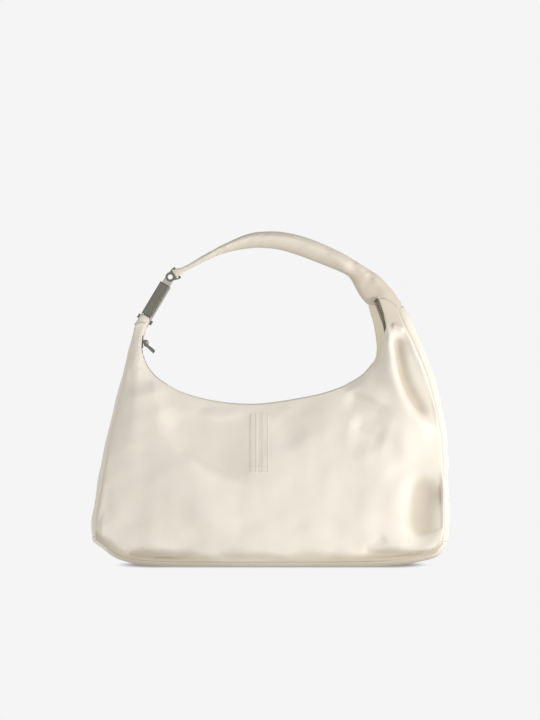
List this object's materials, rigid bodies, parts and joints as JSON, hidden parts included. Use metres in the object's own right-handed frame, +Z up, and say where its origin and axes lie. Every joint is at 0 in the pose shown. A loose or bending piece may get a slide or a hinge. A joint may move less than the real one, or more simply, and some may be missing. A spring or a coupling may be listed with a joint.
{
  "type": "hobo bag",
  "caption": "Soft leather shoulder bag with a curved zipped mouth, a flat gusseted base, and one short strap that ends in a metal buckle.",
  "frame": {"origin": "middle of the footprint, on the surface that the bag stands on", "axes": "+Z up, the front panel faces -Y, +X to the right of someone who looks at the front; the buckle is on the -X side"},
  "size_m": [0.4027, 0.1086, 0.3726],
  "materials": {
    "leather": "smooth semi-matt, ivory",
    "lining": "fine cotton twill",
    "board": "fibre board",
    "zip_tape": "woven tape",
    "gunmetal": "dark antique metal",
    "polished_steel": "polished",
    "brushed_plate": "brushed lengthways",
    "dark_plate": "polished"
  },
  "bodies": {
    "bag": {"front_panel": "leather", "back_panel": "leather", "left_gusset": "leather", "right_gusset": "leather", "base_panel": "leather", "base_stiffener": "board", "front_lining": "lining", "back_lining": "lining", "gusset_lining": "lining", "front_pleat": "leather", "back_pleat": "leather", "left_root_pad": "leather", "right_root_pad": "leather", "zip_tape_front": "zip_tape", "zip_tape_back": "zip_tape", "zip_teeth_front": "gunmetal", "zip_teeth_back": "gunmetal", "zip_left_stop": "polished_steel", "zip_right_stop": "polished_steel", "pocket_pouch": "lining", "pocket_zip_tape": "zip_tape", "pocket_zip_teeth": "gunmetal"},
    "handle": {"strap": "leather", "strap_taper": "leather", "chape": "leather", "chape_bar": "polished_steel", "buckle_housing": "dark_plate", "buckle_cover": "brushed_plate", "lever_pin": "polished_steel", "lever_spring": "polished_steel"},
    "lever": {"release_lever": "dark_plate"},
    "tongue": {"tongue": "brushed_plate", "hollow_rivet": "brushed_plate"},
    "link": {"strap_link": "brushed_plate", "strap_end_tab": "leather"},
    "zip_slider": {"zip_slider": "gunmetal"},
    "zip_ring": {"zip_ring": "polished_steel"},
    "zip_pull": {"zip_pull": "polished_steel"},
    "pocket_slider": {"pocket_slider": "gunmetal"},
    "pocket_pull": {"pocket_pull": "polished_steel"}
  },
  "joints": [
    {"name": "strap_swing", "type": "hinge", "parent": "bag", "child": "handle", "pos_m": [-0.147, 0, 0.2675], "axis": [0.9947, 0, 0.1031], "range_deg": [-75, 75]},
    {"name": "lever_press", "type": "hinge", "parent": "handle", "child": "lever", "pos_m": [-0.13721, 0.0052, 0.28379], "axis": [-0.8572, 0, 0.515], "range_deg": [0, 7], "stiffness_Nm_per_rad": 0.05, "springref_deg": -1.15},
    {"name": "tongue_slide", "type": "slide", "parent": "handle", "child": "tongue", "axis": [0.515, 0, 0.8572], "range_m": [0, 0.022], "deforming": ["strap_taper"]},
    {"name": "link_swivel", "type": "hinge", "parent": "tongue", "child": "link", "pos_m": [-0.11404, 0, 0.32236], "axis": [0, 1, 0], "range_deg": [-40, 40], "deforming": ["strap_taper"]},
    {"name": "zip_travel", "type": "hinge", "parent": "bag", "child": "zip_slider", "pos_m": [-0.09525, 0, 0.24807], "axis": [0, -1, 0], "range_deg": [0, 56]},
    {"name": "ring_swing", "type": "hinge", "parent": "zip_slider", "child": "zip_ring", "pos_m": [-0.14122, 0, 0.24967], "axis": [0, -1, 0], "range_deg": [-3, 90]},
    {"name": "pull_swing", "type": "hinge", "parent": "zip_ring", "child": "zip_pull", "pos_m": [-0.14122, 0, 0.24617], "axis": [0, -1, 0], "range_deg": [-45, 25]},
    {"name": "pocket_travel", "type": "slide", "parent": "bag", "child": "pocket_slider", "axis": [1, 0, 0], "range_m": [0, 0.134]},
    {"name": "pocket_pull_swing", "type": "hinge", "parent": "pocket_slider", "child": "pocket_pull", "pos_m": [-0.078, 0.028, 0.112], "axis": [-1, 0, 0], "range_deg": [-8, 120]}
  ]
}
